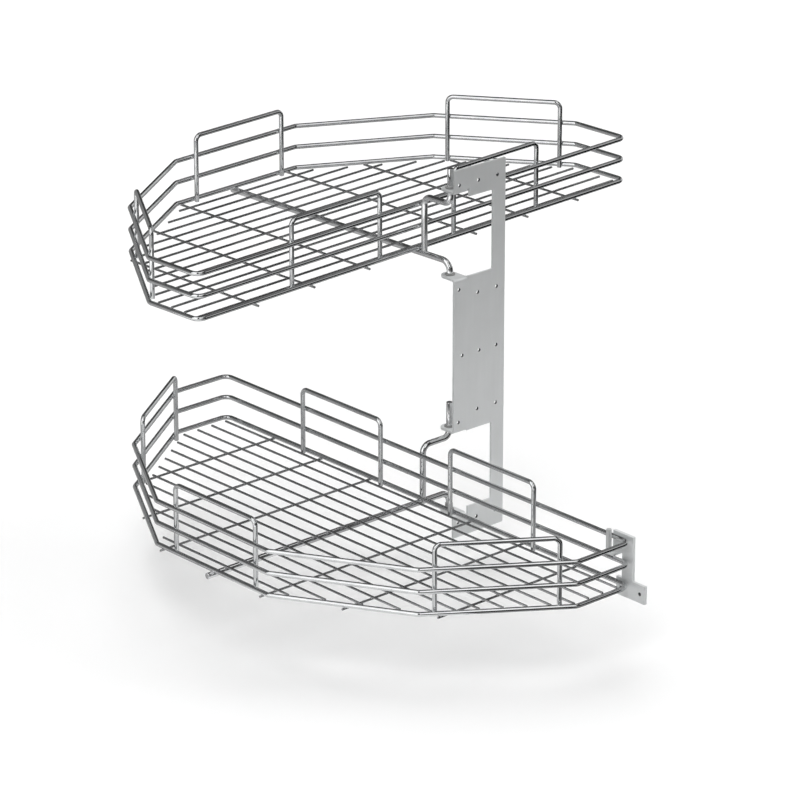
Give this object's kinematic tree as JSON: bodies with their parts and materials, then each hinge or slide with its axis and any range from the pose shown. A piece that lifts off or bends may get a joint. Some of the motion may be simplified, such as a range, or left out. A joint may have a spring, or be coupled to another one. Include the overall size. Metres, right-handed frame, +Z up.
{
  "type": "swing-out corner shelf",
  "caption": "Wire corner shelf unit: half-round baskets with raised guards swing out on a screwed mounting plate, one led by a bracket on the cabinet door.",
  "frame": {"origin": "on the front face of the mounting plate, at mid-height of the plate and in line with the hinge axis, which stands 20 mm behind that face", "axes": "+X to the right along the plate, +Y into the cabinet, +Z up along the hinge axis"},
  "size_m": [0.7726, 0.7966, 0.49],
  "materials": {
    "chrome_wire": "polished plated wire",
    "plate_steel": "satin light grey",
    "pin_steel": "bright turned steel",
    "bush_nylon": "grey nylon"
  },
  "bodies": {
    "mounting": {"mounting_plate": "plate_steel", "upper_seat_bush": "bush_nylon", "upper_hinge_bush": "bush_nylon", "lower_seat_bush": "bush_nylon", "lower_hinge_bush": "bush_nylon"},
    "upper_basket": {"upper_rim_wire": "chrome_wire", "upper_middle_wire": "chrome_wire", "upper_base_wire": "chrome_wire", "upper_floor_wires": "chrome_wire", "upper_cross_wires": "chrome_wire", "upper_support_arm": "chrome_wire", "upper_hinge_arm": "chrome_wire", "upper_guard_rail_left": "chrome_wire", "upper_guard_rail_right": "chrome_wire", "upper_guard_back": "chrome_wire", "upper_guard_slant_left": "chrome_wire", "upper_guard_slant_right": "chrome_wire"},
    "lower_basket": {"lower_rim_wire": "chrome_wire", "lower_middle_wire": "chrome_wire", "lower_base_wire": "chrome_wire", "lower_floor_wires": "chrome_wire", "lower_cross_wires": "chrome_wire", "lower_support_arm": "chrome_wire", "lower_hinge_arm": "chrome_wire", "lower_guard_rail_left": "chrome_wire", "lower_guard_rail_right": "chrome_wire", "lower_guard_back": "chrome_wire", "lower_guard_slant_left": "chrome_wire", "lower_guard_slant_right": "chrome_wire"},
    "door_slider": {"door_bracket": "plate_steel", "guide_pin": "pin_steel"}
  },
  "joints": [
    {"name": "upper_basket_swing", "type": "hinge", "parent": "mounting", "child": "upper_basket", "pos_m": [0, 0.02, 0.103], "axis": [0, 0, 1], "range_deg": [-2.7, 92.3]},
    {"name": "lower_basket_swing", "type": "hinge", "parent": "mounting", "child": "lower_basket", "pos_m": [0, 0.02, -0.2135], "axis": [0, 0, 1], "range_deg": [-90, 5]},
    {"name": "door_bracket_slide", "type": "slide", "parent": "lower_basket", "child": "door_slider", "axis": [0, 1, 0], "range_m": [-0.01, 0.06]}
  ]
}
